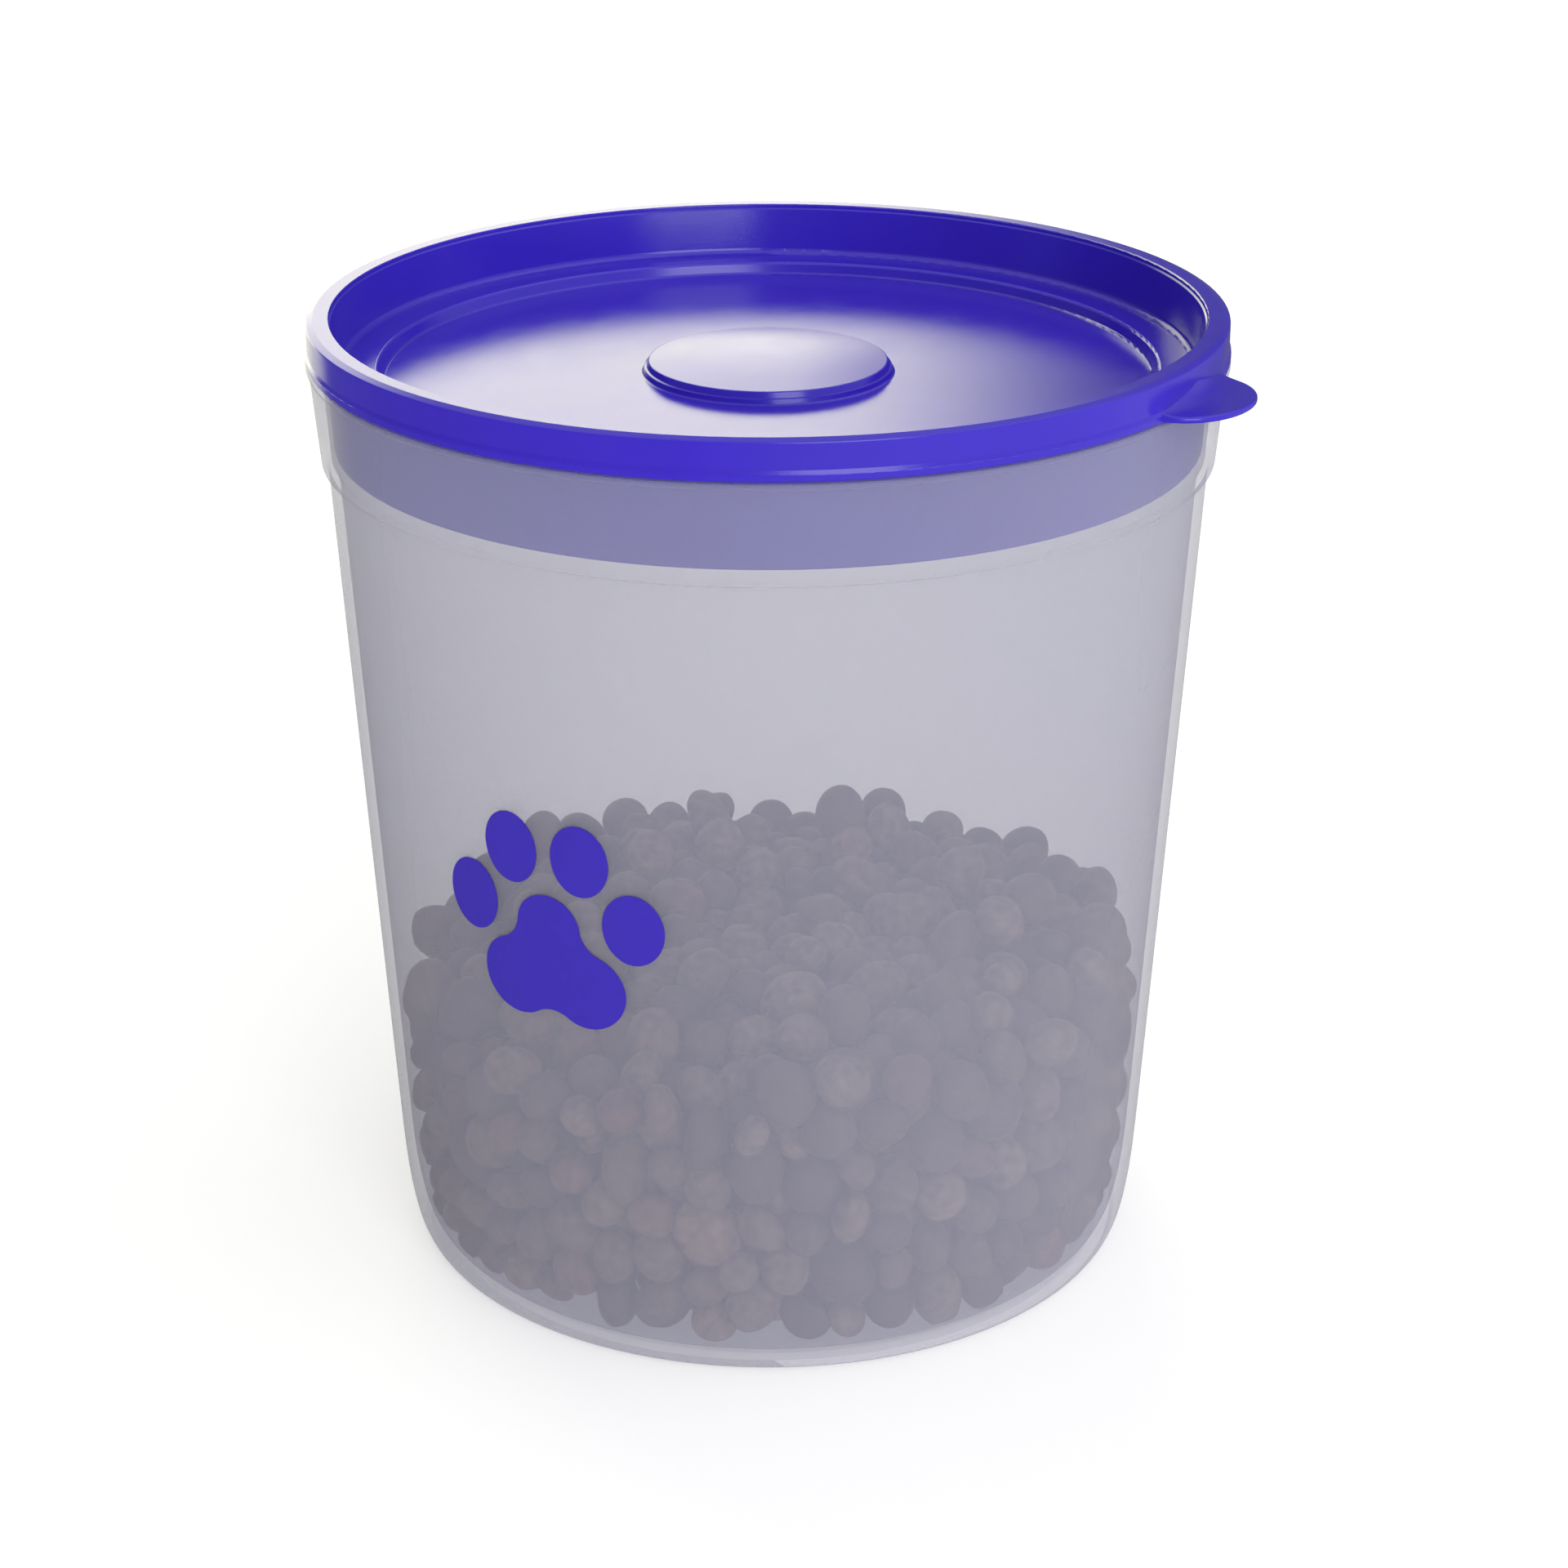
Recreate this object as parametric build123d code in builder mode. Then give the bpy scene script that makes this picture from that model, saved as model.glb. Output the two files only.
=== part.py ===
from build123d import *
import os
from math import cos, hypot, radians, sin

# Round dry pet food canister: a tapered clear tub, a push-on lid with a pull tab and a raised
# middle, a paw print on the wall, and the food inside. Millimetres, +Z up. The origin is the
# centre of the ring that the tub stands on. The front of the canister faces -Y.

os.makedirs("parts", exist_ok=True)

# Tub: heights above the ground, radii from the canister's axis
wall = 2.0
foot_radius = 73.2
foot_width = 2.5
foot_height = 1.0
cone_foot_radius = 78.2
cone_foot_height = 24.0
cone_top_radius = 86.9
cone_top_height = 167.4
shoulder_radius = 88.2
shoulder_height = 168.0
band_top_radius = 89.8
band_top_height = 186.2
bead_radius = 90.4
bead_top_height = 187.5
rim_radius = 88.5
rim_thickness = 1.2
rim_top_height = 194.1
shoulder_inner_rise = 0.5
shoulder_inner_drop = 0.9
corner_fullness = 0.55

# Raised centre of the base, which clears the lid of a canister below it in a stack
punt_radius = 32.0
punt_slope = 8.0
punt_height = 5.0
punt_round = 2.0

# Lid
skirt_radius = 90.0
skirt_inner_radius = 88.9
skirt_bottom_height = 187.9
skirt_top_height = 195.1
skirt_top_round = 0.4
lip_radius = 90.35
lip_height = 1.3
lip_slope_height = 0.8
lip_round = 0.25
brim_outer_radius = 88.6
brim_inner_radius = 85.5
brim_height = 195.6
brim_outer_round = 0.3
brim_inner_round = 0.25
brim_roof_height = 194.3
recess_step = 0.3
recess_step_depth = 0.8
recess_foot_radius = 84.0
recess_foot_round = 1.4
ledge_height = 185.0
ledge_inner_radius = 76.5
ledge_round = 0.7
lid_floor_radius = 75.6
lid_floor_height = 182.5
lid_thickness = 1.5
plug_top_radius = 86.9
plug_bottom_radius = 85.6
plug_bottom_height = 170.2
plug_thickness = 1.3
plug_edge_round = 0.4
plug_root_round = 1.0

# Raised round in the lid's middle, with a stepped side and a domed top
boss_foot_radius = 24.7
boss_foot_round = 0.4
boss_step_radius = 24.4
boss_step_height = 183.6
boss_step_width = 0.45
boss_step_rise = 0.15
boss_top_radius = 23.5
boss_edge_height = 184.9
boss_edge_round = 0.3
boss_crown = 0.8
boss_wall = 1.6
boss_inside_round = 0.6

# Pull tab, a tongue that sweeps out of the skirt. The sweep is a ring about an axis of its own,
# nearer than the canister's, so it is highest in the tab's middle and runs out at its ends.
tab_azimuth = -27.3
tab_centre_radius = 88.0
tab_reach = 12.6
tab_half_width = 15.2
tab_thickness = 1.2
tab_edge_round = 0.5
tab_sweep_radius = 40.0
tab_sweep_width = 5.5
tab_sweep_height = 3.2
tab_root_radius = 89.4
tab_ring_margin = 1.0

# Paw print, cut from thin film and laid on the cone of the wall
paw_azimuth = -120.0
paw_height = 88.0
film_gap = 0.05
film_thickness = 0.2
film_half_height = 36.0
pad_lobe_radius = 8.0
pad_lobe_offset = 7.7
pad_lobe_drop = 5.3
pad_top_radius = 6.9
pad_top_rise = 6.4
pad_blend = 6.0
toe_half_width = 6.0
toe_half_height = 7.3
toe_places = [(-17.8, 9.2), (-7.6, 21.8), (7.6, 21.8), (17.8, 9.2)]

# Food, filled level, clear of the tub
food_gap = 0.7
food_level = 57.0
food_edge_round = 6.0


cone_lean = (cone_top_radius - cone_foot_radius) / (cone_top_height - cone_foot_height)


def wall_radius(height):
    """Outer radius of the tub's cone at a height."""
    return cone_foot_radius + cone_lean * (height - cone_foot_height)


def round_corner(section, radius_at, height_at, size):
    """Rounds the corner of the section that lies at a radius and a height."""
    corner = section.vertices().sort_by_distance((radius_at, height_at))[0]
    fillet(corner, size)


def corner_curve(foot, cone_foot):
    """Bottom corner of the tub: level at its foot, and in line with the cone at its top."""
    span = corner_fullness * (Vector(cone_foot) - Vector(foot))
    level_handle = Vector(foot) + Vector(span.X, 0)
    leaning_handle = Vector(cone_foot) - Vector(cone_lean * span.Y, span.Y)
    return Bezier(foot, level_handle, leaning_handle, cone_foot)


# Tub, revolved from the section of its wall and base
base_thickness = wall
floor_height = foot_height + base_thickness
inner_floor_radius = foot_radius - wall
rim_inner_radius = rim_radius - rim_thickness
rim_round = rim_thickness / 2

with BuildPart() as tub:
    with BuildSketch(Plane.XZ) as tub_section:
        with BuildLine():
            outer_corner = corner_curve((foot_radius, 0), (cone_foot_radius, cone_foot_height))
            outer_wall = Polyline(
                outer_corner @ 1,
                (cone_top_radius, cone_top_height),
                (shoulder_radius, shoulder_height),
                (band_top_radius, band_top_height),
            )
            bead = ThreePointArc(
                outer_wall @ 1,
                (bead_radius, (band_top_height + bead_top_height) / 2),
                (band_top_radius, bead_top_height),
            )
            rim_outside = Polyline(
                bead @ 1,
                (rim_radius, bead_top_height),
                (rim_radius, rim_top_height - rim_round),
            )
            rim_top = ThreePointArc(
                rim_outside @ 1,
                (rim_radius - rim_round, rim_top_height),
                (rim_inner_radius, rim_top_height - rim_round),
            )
            inner_wall = Polyline(
                rim_top @ 1,
                (rim_inner_radius, band_top_height),
                (shoulder_radius - wall, shoulder_height + shoulder_inner_rise),
                (cone_top_radius - wall, cone_top_height - shoulder_inner_drop),
                (cone_foot_radius - wall, cone_foot_height),
            )
            inner_corner = corner_curve((inner_floor_radius, floor_height), inner_wall @ 1)
            base = Polyline(
                inner_corner @ 0,
                (punt_radius + punt_slope, floor_height),
                (punt_radius, punt_height + base_thickness),
                (0, punt_height + base_thickness),
                (0, punt_height),
                (punt_radius, punt_height),
                (punt_radius + punt_slope, foot_height),
                (foot_radius - foot_width - foot_height, foot_height),
                (foot_radius - foot_width, 0),
                (foot_radius, 0),
            )
        make_face()
        for punt_edge_radius in (punt_radius, punt_radius + punt_slope):
            for surface in (0, base_thickness):
                level = punt_height if punt_edge_radius == punt_radius else foot_height
                round_corner(tub_section, punt_edge_radius, level + surface, punt_round)
    revolve(axis=Axis.Z)
tub.part.label = "tub"
export_step(tub.part, "parts/tub.step")

# Pull tab: the ring of its section, cut to the tongue's outline and cleared inside the skirt
tab_bottom = skirt_bottom_height
tab_top = tab_bottom + tab_thickness
tab_outward = Vector(cos(radians(tab_azimuth)), sin(radians(tab_azimuth)), 0)
tab_plane = Plane(origin=tab_centre_radius * tab_outward, x_dir=tab_outward, z_dir=(0, 0, 1))
sweep_axis_plane = Plane(
    origin=(skirt_radius - tab_sweep_radius) * tab_outward,
    x_dir=tab_outward,
    z_dir=tab_outward.cross(Vector(0, 0, 1)),
)
ring_inner_radius = tab_sweep_radius - tab_sweep_width
tab_tip_radius = tab_centre_radius + tab_reach
ring_outer_radius = tab_tip_radius - skirt_radius + tab_sweep_radius + tab_ring_margin

with BuildPart() as pull_tab:
    with BuildSketch(sweep_axis_plane):
        with BuildLine():
            sweep = Bezier(
                (tab_sweep_radius, tab_top + tab_sweep_height),
                (tab_sweep_radius, tab_top),
                (tab_sweep_radius + tab_sweep_width, tab_top),
            )
            Polyline(
                sweep @ 1,
                (ring_outer_radius, tab_top),
                (ring_outer_radius, tab_bottom),
                (ring_inner_radius, tab_bottom),
                (ring_inner_radius, tab_top + tab_sweep_height),
                sweep @ 0,
            )
        make_face()
    revolve(axis=Axis(sweep_axis_plane.origin, (0, 0, 1)))
    with BuildSketch(tab_plane):
        Ellipse(tab_reach, tab_half_width)
    extrude(amount=brim_height, mode=Mode.INTERSECT)
    with BuildSketch():
        Circle(tab_root_radius)
    extrude(amount=brim_height, mode=Mode.SUBTRACT)
    tab_tip = tab_tip_radius * tab_outward + Vector(0, 0, tab_bottom)
    tab_side = pull_tab.faces().sort_by_distance(tab_tip)[0]
    # The side's two short edges stand inside the skirt, and the others are rounded
    tab_rim = tab_side.edges().sort_by(SortBy.LENGTH)[2:]
    fillet(tab_rim, tab_edge_round)

# Lid: skirt, brim, recess, ledge, floor, raised middle, plug and pull tab in one moulding
boss_inner_radius = boss_step_radius - boss_wall
boss_underside = boss_edge_height - boss_wall
floor_underside = lid_floor_height - lid_thickness
ledge_underside = ledge_height - lid_thickness
plug_inner_radius = plug_bottom_radius - plug_thickness
recess_step_height = brim_height - recess_step_depth
lip_top = skirt_bottom_height + lip_height

with BuildPart() as lid:
    with BuildSketch(Plane.XZ) as lid_section:
        with BuildLine():
            brim_and_recess = Polyline(
                (skirt_radius, skirt_top_height),
                (brim_outer_radius, brim_height),
                (brim_inner_radius, brim_height),
                (brim_inner_radius, recess_step_height),
                (brim_inner_radius - recess_step, recess_step_height - recess_step),
                (recess_foot_radius, ledge_height),
                (ledge_inner_radius, ledge_height),
                (lid_floor_radius, lid_floor_height),
                (boss_foot_radius, lid_floor_height),
                (boss_step_radius, boss_step_height),
                (boss_step_radius - boss_step_width, boss_step_height + boss_step_rise),
                (boss_top_radius, boss_edge_height),
            )
            dome = RadiusArc(
                brim_and_recess @ 1,
                (0, boss_edge_height + boss_crown),
                -(boss_top_radius**2 + boss_crown**2) / (2 * boss_crown),
            )
            underside = Polyline(
                dome @ 1,
                (0, boss_underside),
                (boss_inner_radius, boss_underside),
                (boss_inner_radius, floor_underside),
                (lid_floor_radius + lid_thickness, floor_underside),
                (ledge_inner_radius + lid_thickness, ledge_underside),
                (plug_inner_radius, ledge_underside),
                (plug_inner_radius, plug_bottom_height),
                (plug_bottom_radius, plug_bottom_height),
                (plug_top_radius, brim_roof_height),
                (skirt_inner_radius, brim_roof_height),
                (skirt_inner_radius, skirt_bottom_height),
            )
            lip = Polyline(
                underside @ 1,
                (lip_radius, skirt_bottom_height),
                (lip_radius, lip_top),
                (skirt_radius, lip_top + lip_slope_height),
                brim_and_recess @ 0,
            )
        make_face()
        round_corner(lid_section, skirt_radius, skirt_top_height, skirt_top_round)
        round_corner(lid_section, brim_outer_radius, brim_height, brim_outer_round)
        round_corner(lid_section, brim_inner_radius, brim_height, brim_inner_round)
        round_corner(lid_section, recess_foot_radius, ledge_height, recess_foot_round)
        round_corner(lid_section, ledge_inner_radius, ledge_height, ledge_round)
        round_corner(lid_section, lid_floor_radius, lid_floor_height, ledge_round)
        round_corner(lid_section, boss_foot_radius, lid_floor_height, boss_foot_round)
        round_corner(lid_section, boss_top_radius, boss_edge_height, boss_edge_round)
        round_corner(lid_section, boss_inner_radius, boss_underside, boss_inside_round)
        round_corner(lid_section, plug_bottom_radius, plug_bottom_height, plug_edge_round)
        round_corner(lid_section, plug_inner_radius, plug_bottom_height, plug_edge_round)
        round_corner(lid_section, plug_inner_radius, ledge_underside, plug_root_round)
        round_corner(lid_section, lip_radius, skirt_bottom_height, lip_round)
        round_corner(lid_section, lip_radius, lip_top, lip_round)
    revolve(axis=Axis.Z)
    add(pull_tab.part)
lid.part.label = "lid"
export_step(lid.part, "parts/lid.step")

# Film laid round the wall, from which the paw print's pieces are cut
film_inner = film_gap * hypot(1, cone_lean)
film_outer = (film_gap + film_thickness) * hypot(1, cone_lean)
film_bottom = paw_height - film_half_height
film_top = paw_height + film_half_height

with BuildPart() as film:
    with BuildSketch(Plane.XZ):
        with BuildLine():
            Polyline(
                (wall_radius(film_bottom) + film_inner, film_bottom),
                (wall_radius(film_bottom) + film_outer, film_bottom),
                (wall_radius(film_top) + film_outer, film_top),
                (wall_radius(film_top) + film_inner, film_top),
                close=True,
            )
        make_face()
    revolve(axis=Axis.Z)

# Plane through the canister's axis that looks out through the middle of the paw print
paw_outward = (cos(radians(paw_azimuth)), sin(radians(paw_azimuth)), 0)
paw_sideways = (-sin(radians(paw_azimuth)), cos(radians(paw_azimuth)), 0)
paw_plane = Plane(origin=(0, 0, paw_height), x_dir=paw_sideways, z_dir=paw_outward)

with BuildPart() as paw_palm_pad:
    add(film.part)
    with BuildSketch(paw_plane) as pad_outline:
        with Locations((0, pad_top_rise)):
            Circle(pad_top_radius)
        with Locations((-pad_lobe_offset, -pad_lobe_drop), (pad_lobe_offset, -pad_lobe_drop)):
            Circle(pad_lobe_radius)
        with BuildLine():
            Polyline(
                (0, pad_top_rise),
                (-pad_lobe_offset, -pad_lobe_drop),
                (pad_lobe_offset, -pad_lobe_drop),
                close=True,
            )
        make_face()
        offset(amount=pad_blend)
        offset(amount=-pad_blend, mode=Mode.REPLACE)
    extrude(amount=skirt_radius, mode=Mode.INTERSECT)
paw_palm_pad.part.label = "paw_palm_pad"
export_step(paw_palm_pad.part, "parts/paw_palm_pad.step")

for toe_number, toe_place in enumerate(toe_places, start=1):
    with BuildPart() as paw_toe:
        add(film.part)
        with BuildSketch(paw_plane):
            with Locations(toe_place):
                Ellipse(toe_half_width, toe_half_height)
        extrude(amount=skirt_radius, mode=Mode.INTERSECT)
    paw_toe.part.label = f"paw_toe_{toe_number}"
    export_step(paw_toe.part, f"parts/paw_toe_{toe_number}.step")

# Food: a level fill that follows the inside of the tub
food_inset = wall + food_gap
food_floor = floor_height + food_gap
food_top_radius = wall_radius(food_level) - food_inset

with BuildPart() as food:
    with BuildSketch(Plane.XZ) as food_section:
        with BuildLine():
            food_foot = (cone_foot_radius - food_inset, cone_foot_height)
            food_corner = corner_curve((foot_radius - food_inset, food_floor), food_foot)
            Polyline(
                food_corner @ 1,
                (food_top_radius, food_level),
                (0, food_level),
                (0, punt_height + base_thickness + food_gap),
                (punt_radius + food_gap, punt_height + base_thickness + food_gap),
                (punt_radius + punt_slope + food_gap, food_floor),
                food_corner @ 0,
            )
        make_face()
        round_corner(food_section, food_top_radius, food_level, food_edge_round)
    revolve(axis=Axis.Z)

food.part.label = "food"
export_step(food.part, "parts/food.step")
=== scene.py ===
import math

import bmesh
import bpy
import numpy as np
from mathutils import Euler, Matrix
from mathutils.kdtree import KDTree


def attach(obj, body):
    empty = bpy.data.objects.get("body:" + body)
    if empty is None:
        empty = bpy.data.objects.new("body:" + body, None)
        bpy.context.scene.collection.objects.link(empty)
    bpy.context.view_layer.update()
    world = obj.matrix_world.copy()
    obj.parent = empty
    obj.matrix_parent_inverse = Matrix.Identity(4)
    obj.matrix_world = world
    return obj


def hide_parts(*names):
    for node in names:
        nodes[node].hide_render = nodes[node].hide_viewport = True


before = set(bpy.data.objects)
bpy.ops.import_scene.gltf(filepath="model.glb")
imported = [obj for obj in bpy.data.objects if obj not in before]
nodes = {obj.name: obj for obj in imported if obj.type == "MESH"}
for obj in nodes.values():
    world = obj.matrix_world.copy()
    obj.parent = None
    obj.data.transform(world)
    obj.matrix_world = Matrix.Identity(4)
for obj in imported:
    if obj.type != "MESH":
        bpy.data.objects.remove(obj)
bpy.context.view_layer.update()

# A see-through pet food canister on a pale studio floor. All lengths are metres, in the CAD
# frame: +Z up, the canister's axis on the Z axis, its front towards -Y.

# Colours, linear
LID_BLUE = (0.046, 0.022, 0.55)
PRINT_BLUE = (0.036, 0.012, 0.50)
HAZE = (0.46, 0.455, 0.575)
DARK_FOOD = (0.11, 0.08, 0.06)
PALE_FOOD = (0.42, 0.31, 0.21)
REDDISH_FOOD = (0.42, 0.18, 0.11)
BROWNED_SKIN = (0.07, 0.05, 0.04)
FLOOR_WHITE = (0.9, 0.9, 0.9)
WHITE_LIGHT = (1.0, 1.0, 1.0)
WINDOW_TINT = (1.0, 0.98, 0.66)


def node_outline(name):
    """Heights of a round CAD node, lowest first, and its widest radius up to each."""
    points = np.array([vertex.co for vertex in nodes[name].data.vertices])
    heights = np.round(points[:, 2], 4)
    radii = np.hypot(points[:, 0], points[:, 1])
    levels = np.unique(heights)
    widest = np.array([radii[heights == level].max() for level in levels])
    return levels, np.maximum.accumulate(widest)


# ---------------------------------------------------------------- materials

class Shading:
    """The emptied node tree of a material or world, with a short call to add and join nodes."""

    def __init__(self, owner, output_kind):
        owner.use_nodes = True
        self.tree = owner.node_tree
        self.tree.nodes.clear()
        self.output = self.tree.nodes.new(output_kind)

    def node(self, kind, inputs=None, **settings):
        """Adds a node. Each of its inputs takes another node's output, a number or a colour."""
        made = self.tree.nodes.new(kind)
        for setting, value in settings.items():
            setattr(made, setting, value)
        for socket, value in (inputs or {}).items():
            if isinstance(value, bpy.types.NodeSocket):
                self.tree.links.new(value, made.inputs[socket])
            else:
                made.inputs[socket].default_value = value
        return made

    def show(self, shader):
        self.tree.links.new(shader, self.output.inputs["Surface"])


class Surface(Shading):
    """A material under construction."""

    def __init__(self, name):
        self.material = bpy.data.materials.new(name)
        super().__init__(self.material, "ShaderNodeOutputMaterial")

    def noise(self, scale, detail=3.0, roughness=0.5):
        place = self.node("ShaderNodeTexCoord").outputs["Object"]
        return self.node(
            "ShaderNodeTexNoise",
            {"Vector": place, "Scale": scale, "Detail": detail, "Roughness": roughness},
        ).outputs["Fac"]

    def ramp(self, value, low, high):
        """Maps a value near 0.5 onto the span from low to high."""
        return self.node(
            "ShaderNodeMapRange",
            {"Value": value, "From Min": 0.3, "From Max": 0.7, "To Min": low, "To Max": high},
        ).outputs["Result"]

    def blend(self, factor, first, second):
        mixed = self.node("ShaderNodeMix", data_type="RGBA")
        self.tree.links.new(factor, mixed.inputs["Factor"])
        for socket, colour in (("A", first), ("B", second)):
            # A Mix node keeps one pair of sockets for each data type, and the colour pair is last
            target = [s for s in mixed.inputs if s.name == socket and s.type == "RGBA"][0]
            if isinstance(colour, bpy.types.NodeSocket):
                self.tree.links.new(colour, target)
            else:
                target.default_value = (*colour, 1.0)
        return [s for s in mixed.outputs if s.type == "RGBA"][0]

    def bump(self, height, strength, distance):
        return self.node(
            "ShaderNodeBump", {"Height": height, "Strength": strength, "Distance": distance}
        ).outputs["Normal"]

    def finish(self, shader):
        self.show(shader)
        return self.material


def brighter(colour, share):
    return tuple(channel * (1.0 + share) for channel in colour)


def lid_plastic():
    """Flexible blue plastic: a soft glow under a gloss that a fine moulded grain breaks up."""
    surface = Surface("lid_plastic")
    tone = surface.ramp(surface.noise(scale=45.0, detail=2.0), 0.0, 1.0)
    grain = surface.noise(scale=3200.0, detail=2.0, roughness=0.6)
    shader = surface.node(
        "ShaderNodeBsdfPrincipled",
        {
            "Base Color": surface.blend(tone, LID_BLUE, brighter(LID_BLUE, 0.08)),
            "Roughness": surface.ramp(surface.noise(scale=150.0), 0.10, 0.15),
            "IOR": 1.5,
            "Subsurface Weight": 0.15,
            "Subsurface Radius": (0.3, 0.3, 1.0),
            "Subsurface Scale": 0.002,
            "Normal": surface.bump(grain, strength=0.8, distance=0.00002),
        },
    )
    return surface.finish(shader.outputs["BSDF"])


def print_film():
    """Opaque blue film of the paw print."""
    surface = Surface("print_film")
    tone = surface.ramp(surface.noise(scale=300.0), 0.0, 1.0)
    grain = surface.noise(scale=4000.0)
    shader = surface.node(
        "ShaderNodeBsdfPrincipled",
        {
            "Base Color": surface.blend(tone, PRINT_BLUE, brighter(PRINT_BLUE, 0.06)),
            "Roughness": surface.ramp(surface.noise(scale=900.0), 0.42, 0.5),
            "IOR": 1.45,
            "Normal": surface.bump(grain, strength=0.1, distance=0.00001),
        },
    )
    return surface.finish(shader.outputs["BSDF"])


def clear_plastic():
    """Milky see-through plastic: each face lets most of the light pass and hazes the rest, which
    is nearly a third of it head on and up to half at a slant."""
    surface = Surface("clear_plastic")
    cloud = surface.noise(scale=14.0, detail=0.0)
    milkiness = surface.ramp(cloud, 0.29, 0.31)
    unevenness = surface.noise(scale=9.0, detail=0.0)
    haze = surface.node(
        "ShaderNodeBsdfPrincipled",
        {
            "Base Color": surface.blend(surface.ramp(cloud, 0.0, 1.0), HAZE, brighter(HAZE, 0.05)),
            "Roughness": surface.ramp(cloud, 0.26, 0.31),
            "IOR": 1.35,
            "Normal": surface.bump(unevenness, strength=0.04, distance=0.0004),
        },
    )
    clear = surface.node("ShaderNodeBsdfTransparent", {"Color": (1.0, 1.0, 1.0, 1.0)})
    slant = surface.node("ShaderNodeLayerWeight", {"Blend": 0.25}).outputs["Facing"]
    haze_share = surface.node(
        "ShaderNodeMath", {0: slant, 1: 0.2, 2: milkiness}, operation="MULTIPLY_ADD"
    )
    mixed = surface.node(
        "ShaderNodeMixShader",
        {0: haze_share.outputs["Value"], 1: clear.outputs["BSDF"], 2: haze.outputs["BSDF"]},
    )
    return surface.finish(mixed.outputs["Shader"])


def dry_food():
    """Baked kibble: each nugget has its own brown, with pores and a browned skin."""
    surface = Surface("dry_food")
    tone = surface.node("ShaderNodeAttribute", attribute_name="nugget_tone").outputs["Fac"]
    hue = surface.node("ShaderNodeAttribute", attribute_name="nugget_hue").outputs["Fac"]
    brown = surface.blend(tone, DARK_FOOD, PALE_FOOD)
    tinted = surface.blend(hue, brown, REDDISH_FOOD)
    blotch = surface.ramp(surface.noise(scale=380.0, detail=4.0, roughness=0.6), 0.0, 0.7)
    pores = surface.noise(scale=1400.0, detail=5.0, roughness=0.65)
    shader = surface.node(
        "ShaderNodeBsdfPrincipled",
        {
            "Base Color": surface.blend(blotch, tinted, BROWNED_SKIN),
            "Roughness": surface.ramp(surface.noise(scale=900.0), 0.5, 0.75),
            "IOR": 1.45,
            "Normal": surface.bump(pores, strength=0.6, distance=0.0004),
        },
    )
    return surface.finish(shader.outputs["BSDF"])


def paint(node_name, material):
    slots = nodes[node_name].data.materials
    slots.clear()
    slots.append(material)


# ---------------------------------------------------------------- food

FOOD_SEED = 3

# Sizes of the nuggets, and how many different shapes they have
NUGGET_RADIUS = 0.0049
NUGGET_SPREAD = 0.0007
NUGGET_SHAPES = 20

# Each shape is a ball with bumps and dents, bent, stretched along X and flattened along Z
LOBES = 6
LOBE_DEPTHS = (-0.16, 0.13)
LOBE_SHARPNESS = 4.0
BEND = 0.28
STRETCH = (1.0, 1.38)
FLATNESS = (0.7, 0.95)

# Pouring: the share of the heap that is food, and how far out and how high up nuggets start
PILE_SHARE = 0.65
POUR_REACH = 0.95
POUR_HEIGHT = 1.5
SPREAD_OUTWARD = 0.36

# Settling: nuggets fall a little at each step, and push apart those that they overlap
SETTLE_STEPS = 360
STEPS_PER_SEARCH = 8
SEARCH_REACH = 2.6 * NUGGET_RADIUS
FALL_PER_STEP = 0.0004
FALLING_SHARE = 0.75
PUSH_SHARE = 0.45

# Nuggets deeper inside the heap than the shell aren't made, and only the outer ones have detail
SHELL_DEPTH = 0.030
DETAIL_DEPTH = 0.013
HEAP_TOP_PERCENTILE = 97
WALL_GAP = 0.0004

# A nugget's share of the reddish colour: a random number, taken as 0 where it comes out negative
REDDISH_MEAN = -0.1
REDDISH_SPREAD = 0.3

# Parts of the CAD food: its rounded top edge, and the height that its underside stays below
FOOD_TOP_EDGE = 0.008
FOOD_UNDERSIDE = 0.02


class Tub:
    """Inside of the tub, read from the CAD food that fills it."""

    def __init__(self, gap):
        points = np.array([vertex.co for vertex in nodes["food"].data.vertices])
        reach = np.hypot(points[:, 0], points[:, 1])
        self.level = points[:, 2].max()
        heights, radii = node_outline("food")
        flank = heights < self.level - FOOD_TOP_EDGE
        lean = np.polyfit(heights[flank][-2:], radii[flank][-2:], 1)
        self.heights = np.append(heights[flank], 2.0 * self.level)
        self.radii = np.append(radii[flank], np.polyval(lean, 2.0 * self.level)) + gap
        bottom = points[:, 2] < FOOD_UNDERSIDE
        self.rings = np.unique(np.round(reach[bottom], 4))
        on_ring = [bottom & (abs(reach - ring) < 0.0001) for ring in self.rings]
        self.floors = np.array([points[chosen, 2].min() for chosen in on_ring]) - gap

    def wall(self, height):
        return np.interp(height, self.heights, self.radii)

    def hold(self, points, margin):
        """Moves points that are nearer than a margin to the wall or floor back inside, in place."""
        reach = np.hypot(points[:, 0], points[:, 1])
        limit = self.wall(points[:, 2]) - margin
        points[:, :2] *= np.minimum(1.0, limit / np.maximum(reach, 1e-6))[:, None]
        reach = np.hypot(points[:, 0], points[:, 1])
        floor = np.interp(reach, self.rings, self.floors) + margin
        points[:, 2] = np.maximum(points[:, 2], floor)


def close_pairs(centre, reach):
    """Indices of the balls, two by two, whose centres are nearer than a reach."""
    tree = KDTree(len(centre))
    for index, point in enumerate(centre):
        tree.insert(point, index)
    tree.balance()
    pairs = [
        (index, other)
        for index, point in enumerate(centre)
        for _, other, _ in tree.find_range(point, reach)
        if other > index
    ]
    return np.array(pairs).T


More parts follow.
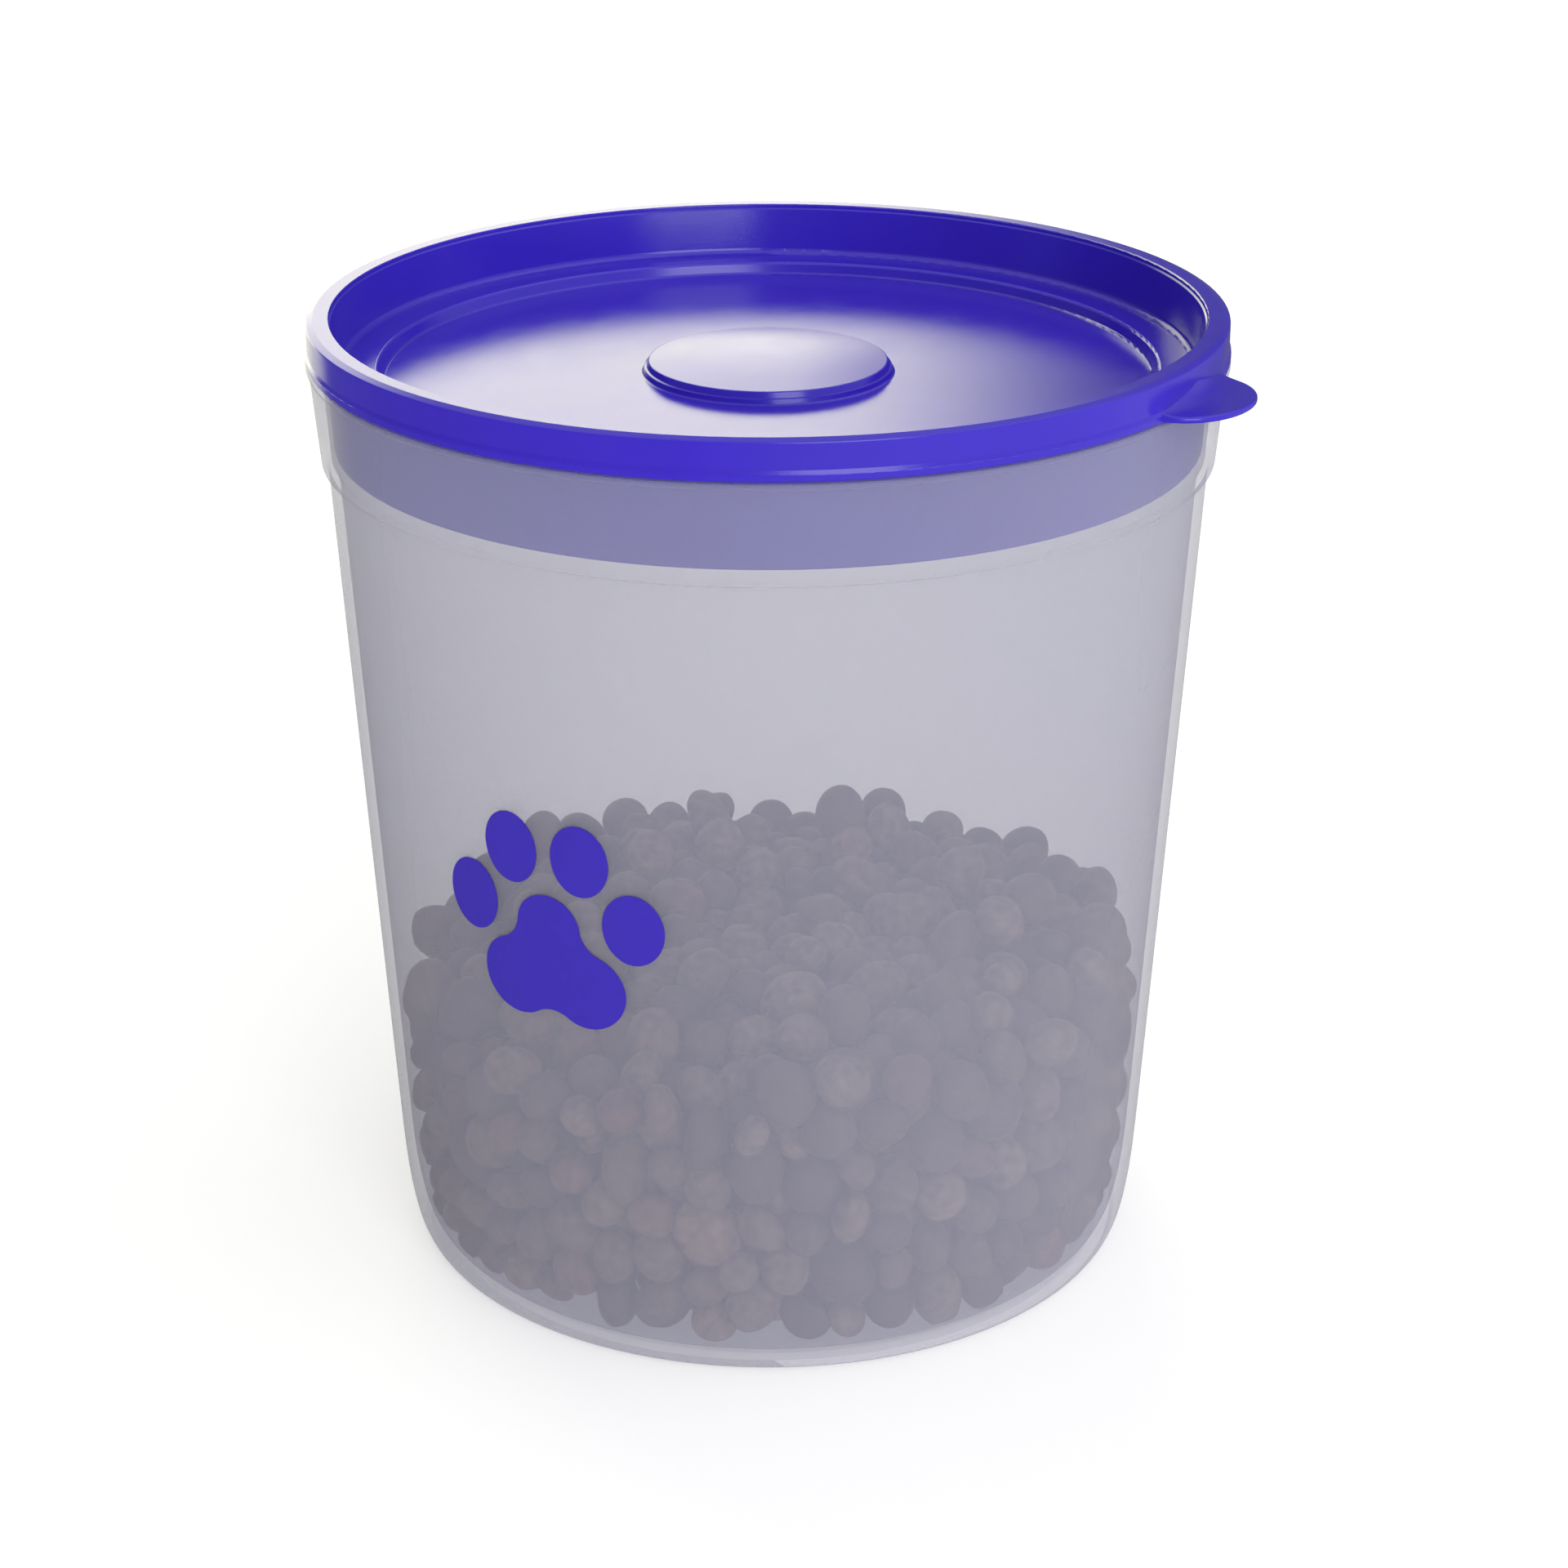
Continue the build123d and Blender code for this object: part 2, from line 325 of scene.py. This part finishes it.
def pack_nuggets(tub):
    """Centres and radii of balls poured into the tub and settled up to the food's level."""
    rng = np.random.default_rng(FOOD_SEED)
    heights = np.linspace(tub.floors.min(), tub.level, 60)
    volume = (np.pi * tub.wall(heights) ** 2).mean() * (heights[-1] - heights[0])
    count = int(PILE_SHARE * volume / (4.0 / 3.0 * np.pi * NUGGET_RADIUS**3))
    size = rng.normal(NUGGET_RADIUS, NUGGET_SPREAD, count)
    size = np.clip(size, NUGGET_RADIUS - 2 * NUGGET_SPREAD, NUGGET_RADIUS + 3 * NUGGET_SPREAD)
    turn = rng.uniform(0.0, 2.0 * np.pi, count)
    reach = POUR_REACH * tub.radii.min() * rng.uniform(0.0, 1.0, count) ** SPREAD_OUTWARD
    drop = rng.uniform(NUGGET_RADIUS, POUR_HEIGHT * tub.level, count)
    centre = np.stack([reach * np.cos(turn), reach * np.sin(turn), drop], axis=1)
    for step in range(SETTLE_STEPS):
        if step % STEPS_PER_SEARCH == 0:
            first, second = close_pairs(centre, SEARCH_REACH)
        centre[:, 2] -= FALL_PER_STEP * max(0.0, 1.0 - step / (FALLING_SHARE * SETTLE_STEPS))
        gap = centre[first] - centre[second]
        distance = np.linalg.norm(gap, axis=1) + 1e-9
        overlap = np.maximum(size[first] + size[second] - distance, 0.0)
        push = (PUSH_SHARE * overlap / distance)[:, None] * gap
        np.add.at(centre, first, push)
        np.add.at(centre, second, -push)
        tub.hold(centre, size)
    return centre, size


def nugget_shapes(rng, subdivisions):
    """Unit nugget meshes: oblong, flattened or bean-like, each a little lumpy."""
    shapes = []
    for _ in range(NUGGET_SHAPES):
        mesh = bmesh.new()
        bmesh.ops.create_icosphere(mesh, subdivisions=subdivisions, radius=1.0)
        points = np.array([vertex.co for vertex in mesh.verts])
        triangles = np.array([[corner.index for corner in face.verts] for face in mesh.faces])
        mesh.free()
        lobes = rng.normal(size=(LOBES, 3))
        lobes /= np.linalg.norm(lobes, axis=1)[:, None]
        depths = rng.uniform(*LOBE_DEPTHS, LOBES)
        nearness = np.exp(-LOBE_SHARPNESS * (1.0 - points @ lobes.T))
        points *= 1.0 + (nearness @ depths)[:, None]
        points[:, 2] += rng.uniform(-BEND, BEND) * (points[:, 0] ** 2 - 0.3)
        points *= (rng.uniform(*STRETCH), 1.0, rng.uniform(*FLATNESS))
        shapes.append((points, triangles))
    return shapes


def place_nuggets(name, centres, sizes, shapes, rng, tub):
    """One object of nuggets with a random shape, turn, tone and hue each, kept inside the tub."""
    points = []
    faces = []
    tones = []
    hues = []
    used = 0
    for centre, size in zip(centres, sizes):
        corners, triangles = shapes[rng.integers(len(shapes))]
        spin = Euler(rng.uniform(0.0, 2.0 * np.pi, 3)).to_matrix()
        placed = corners * size @ np.array(spin).T + centre
        tub.hold(placed, 0.0)
        points.append(placed)
        faces.append(triangles + used)
        used += len(corners)
        tones.append(np.full(len(corners), rng.uniform(0.0, 1.0)))
        reddish = max(0.0, rng.normal(REDDISH_MEAN, REDDISH_SPREAD))
        hues.append(np.full(len(corners), reddish))
    mesh = bpy.data.meshes.new(name)
    mesh.from_pydata(np.concatenate(points).tolist(), [], np.concatenate(faces).tolist())
    for attribute, values in (("nugget_tone", tones), ("nugget_hue", hues)):
        layer = mesh.attributes.new(attribute, "FLOAT", "POINT")
        layer.data.foreach_set("value", np.concatenate(values).astype(np.float32))
    mesh.shade_smooth()
    nuggets = bpy.data.objects.new(name, mesh)
    bpy.context.scene.collection.objects.link(nuggets)
    return nuggets


def make_food(material):
    """The kibble: the heap's outer nuggets in detail, and plainer ones behind them."""
    tub = Tub(gap=0.0)
    centre, size = pack_nuggets(tub)
    roomier_tub = Tub(gap=WALL_GAP)
    rng = np.random.default_rng(FOOD_SEED + 1)
    from_wall = tub.wall(centre[:, 2]) - np.hypot(centre[:, 0], centre[:, 1])
    from_top = np.percentile(centre[:, 2], HEAP_TOP_PERCENTILE) - centre[:, 2]
    depth = np.minimum(from_wall, from_top)
    outer = depth < DETAIL_DEPTH
    inner = (depth >= DETAIL_DEPTH) & (depth < SHELL_DEPTH)
    for name, chosen, subdivisions in (
        ("food_nuggets", outer, 3),
        ("food_nuggets_behind", inner, 2),
    ):
        shapes = nugget_shapes(rng, subdivisions)
        heap = place_nuggets(name, centre[chosen], size[chosen], shapes, rng, roomier_tub)
        heap.data.materials.append(material)
        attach(heap, "tub")
        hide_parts("food")


# ---------------------------------------------------------------- studio

# The floor reaches to the horizon in every view, and glows a little so that it stays white
FLOOR_SIZE = 60.0
FLOOR_GLOW = 0.38

# Strength of the light that comes evenly from all round
ROOM_LIGHT = 0.15

# The camera's place, its downward tilt in radians, and its lens and sensor width in millimetres
CAMERA_PLACE = (0.0031, -0.6898, 0.3779)
CAMERA_TILT = 0.39
CAMERA_LENS = 83.0
CAMERA_SENSOR = 36.0


def make_floor():
    """A pale floor that reflections don't show, so that they show only the studio's light."""
    bpy.ops.mesh.primitive_plane_add(size=FLOOR_SIZE, location=(0.0, 0.0, 0.0))
    floor = bpy.context.object
    floor.name = "studio_floor"
    surface = Surface("studio_floor")
    shader = surface.node(
        "ShaderNodeBsdfPrincipled",
        {
            "Base Color": (*FLOOR_WHITE, 1.0),
            "Roughness": 0.9,
            "Specular IOR Level": 0.0,
            "Emission Color": (*WHITE_LIGHT, 1.0),
            "Emission Strength": FLOOR_GLOW,
        },
    )
    floor.data.materials.append(surface.finish(shader.outputs["BSDF"]))
    floor.visible_glossy = False


class Studio(Shading):
    """Soft light all round, with brighter soft-edged patches in the walls of the room."""

    def __init__(self, strength):
        world = bpy.data.worlds.new("studio")
        super().__init__(world, "ShaderNodeOutputWorld")
        bpy.context.scene.world = world
        self.light = None
        self.shine(strength)

    def shine(self, strength, tint=WHITE_LIGHT):
        """Adds a background light whose strength is a number or another node's output."""
        background = self.node("ShaderNodeBackground", {"Color": (*tint, 1.0), "Strength": strength})
        light = background.outputs["Background"]
        if self.light is not None:
            light = self.node("ShaderNodeAddShader", {0: self.light, 1: light}).outputs["Shader"]
        self.light = light
        self.show(light)

    def math(self, operation, *values):
        made = self.node("ShaderNodeMath", dict(enumerate(values)), operation=operation)
        return made.outputs["Value"]

    def inside(self, angle, reach, edge):
        """1 where an angle is within a reach of zero, falling smoothly to 0 over an edge."""
        return self.node(
            "ShaderNodeMapRange",
            {
                "Value": self.math("ABSOLUTE", angle),
                "From Min": math.radians(reach - edge / 2),
                "From Max": math.radians(reach + edge / 2),
                "To Min": 1.0,
                "To Max": 0.0,
            },
            interpolation_type="SMOOTHSTEP",
        ).outputs["Result"]

    def patch(self, strength, sides, heights, side_edge, height_edge, tint=WHITE_LIGHT):
        """Brightens a patch between two azimuths and two heights, in degrees. Azimuth 0 is behind
        the canister and grows to the right; each edge is the width of its soft border."""
        direction = self.node("ShaderNodeTexCoord").outputs["Generated"]
        turned = self.node(
            "ShaderNodeVectorRotate",
            {"Vector": direction, "Angle": math.radians(sum(sides) / 2)},
            rotation_type="Z_AXIS",
        )
        parts = self.node("ShaderNodeSeparateXYZ", {"Vector": turned.outputs["Vector"]})
        sideways = self.math("ARCTAN2", parts.outputs["X"], parts.outputs["Y"])
        height = self.math("ARCSINE", parts.outputs["Z"])
        upward = self.math("SUBTRACT", height, math.radians(sum(heights) / 2))
        shape = self.math(
            "MULTIPLY",
            self.inside(sideways, (sides[1] - sides[0]) / 2, side_edge),
            self.inside(upward, (heights[1] - heights[0]) / 2, height_edge),
        )
        self.shine(self.math("MULTIPLY", shape, strength), tint)

    def overhead(self, strength, reach, edge):
        """Brightens a round patch straight above, out to an angle from the vertical."""
        direction = self.node("ShaderNodeTexCoord").outputs["Generated"]
        parts = self.node("ShaderNodeSeparateXYZ", {"Vector": direction})
        slant = self.math("ARCCOSINE", parts.outputs["Z"])
        self.shine(self.math("MULTIPLY", self.inside(slant, reach, edge), strength))


def light_studio():
    """Soft room light, and the lamps that the photo's reflections and shading call for."""
    studio = Studio(ROOM_LIGHT)
    # Window behind the canister and to its left, which the lid's floor mirrors
    studio.patch(
        strength=2.9,
        sides=(-38.0, 2.8),
        heights=(-14.0, 32.0),
        side_edge=6.0,
        height_edge=16.0,
        tint=WINDOW_TINT,
    )
    # Broad fill from the right
    studio.patch(
        strength=0.44,
        sides=(50.0, 180.0),
        heights=(-40.0, 70.0),
        side_edge=50.0,
        height_edge=30.0,
    )
    # Key lamp in front, a little to the right
    studio.patch(
        strength=3.2,
        sides=(146.0, 175.0),
        heights=(-5.0, 36.0),
        side_edge=8.0,
        height_edge=10.0,
    )
    studio.overhead(strength=0.62, reach=50.0, edge=40.0)
    bpy.context.scene.view_settings.view_transform = "Standard"


def make_camera():
    """Camera in front of the canister, above its lid and looking down at it."""
    camera = bpy.data.cameras.new("camera")
    camera.sensor_width = CAMERA_SENSOR
    camera.lens = CAMERA_LENS
    camera.clip_start = 0.01
    holder = bpy.data.objects.new("camera", camera)
    holder.location = CAMERA_PLACE
    holder.rotation_euler = (math.pi / 2 - CAMERA_TILT, 0.0, 0.0)
    bpy.context.scene.collection.objects.link(holder)
    bpy.context.scene.camera = holder


make_camera()
make_floor()
light_studio()

paint("tub", clear_plastic())
paint("lid", lid_plastic())
film_material = print_film()
for node_name in nodes:
    if node_name.startswith("paw_"):
        paint(node_name, film_material)
make_food(dry_food())
